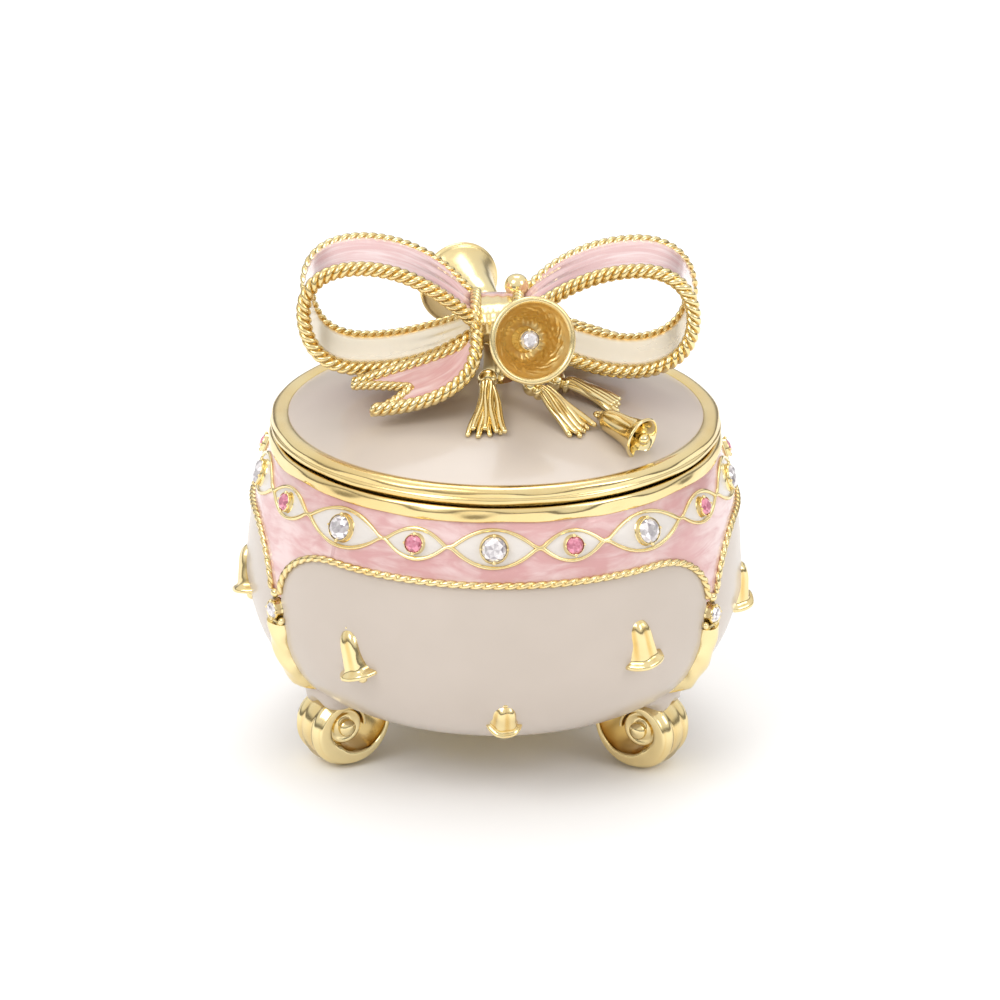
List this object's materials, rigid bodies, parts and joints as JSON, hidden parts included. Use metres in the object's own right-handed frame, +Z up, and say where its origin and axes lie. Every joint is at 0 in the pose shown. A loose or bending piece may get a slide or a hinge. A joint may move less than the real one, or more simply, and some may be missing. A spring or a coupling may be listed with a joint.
{
  "type": "hinged trinket box",
  "caption": "Round footed vanity trinket box in enamelled cast metal, with a hinged domed lid, a ribbon bow, bells, tassels and a band of crystals.",
  "frame": {"origin": "on the table under the middle of the box's bounding box, in line with the pot's axis to within a millimetre", "axes": "+Z up; the front of the box faces -Y, the hinge is at +Y, and +X is to the right of someone facing the front"},
  "size_m": [0.0639, 0.0623, 0.0643],
  "materials": {
    "gold": "bright champagne gold plating",
    "white_enamel": "glossy pearl-white enamel",
    "pink_enamel": "glossy pearly pink enamel",
    "clear_crystal": "faceted clear crystal",
    "pink_crystal": "faceted rose crystal",
    "nickel": "nickel-plated steel"
  },
  "bodies": {
    "base": {"body_shell": "gold", "body_rim": "gold", "panel_front": "white_enamel", "panel_left": "white_enamel", "panel_right": "white_enamel", "band_enamel": "pink_enamel", "rope_front": "gold", "rope_left": "gold", "rope_right": "gold", "eye_wires": "gold", "eye_enamel": "white_enamel", "cups_clear": "gold", "cups_pink": "gold", "crystals_clear": "clear_crystal", "crystals_pink": "pink_crystal", "separator_cups": "gold", "separator_crystals": "clear_crystal", "straps": "gold", "foot_left": "gold", "foot_right": "gold", "foot_back": "gold", "bells_upper": "gold", "bells_lower": "gold", "hinge_body": "gold", "hinge_pin": "nickel", "magnet_body": "nickel"},
    "lid": {"lid_shell": "gold", "lid_rim": "gold", "lid_enamel": "white_enamel", "hinge_lid": "gold", "magnet_lid": "nickel", "bow_post": "gold", "bow_knot": "pink_enamel", "knot_ropes": "gold", "bow_loop_left": "pink_enamel", "bow_loop_right": "pink_enamel", "loop_ropes_left": "gold", "loop_ropes_right": "gold", "bow_tail_front": "pink_enamel", "bow_tail_back": "pink_enamel", "tail_ropes_front": "gold", "tail_ropes_back": "gold", "bell_front": "gold", "bell_back": "gold", "bell_cup_front": "gold", "bell_cup_back": "gold", "bell_crystal_front": "clear_crystal", "bell_crystal_back": "clear_crystal", "knot_bead": "gold", "tassel_left": "gold", "tassel_middle": "gold", "tassel_right": "gold", "lid_bell": "gold", "lid_bell_clapper": "gold"}
  },
  "joints": [
    {"name": "lid_hinge", "type": "hinge", "parent": "base", "child": "lid", "pos_m": [0, 0.0292, 0.04055], "axis": [-1, 0, 0], "range_deg": [0, 95]}
  ]
}
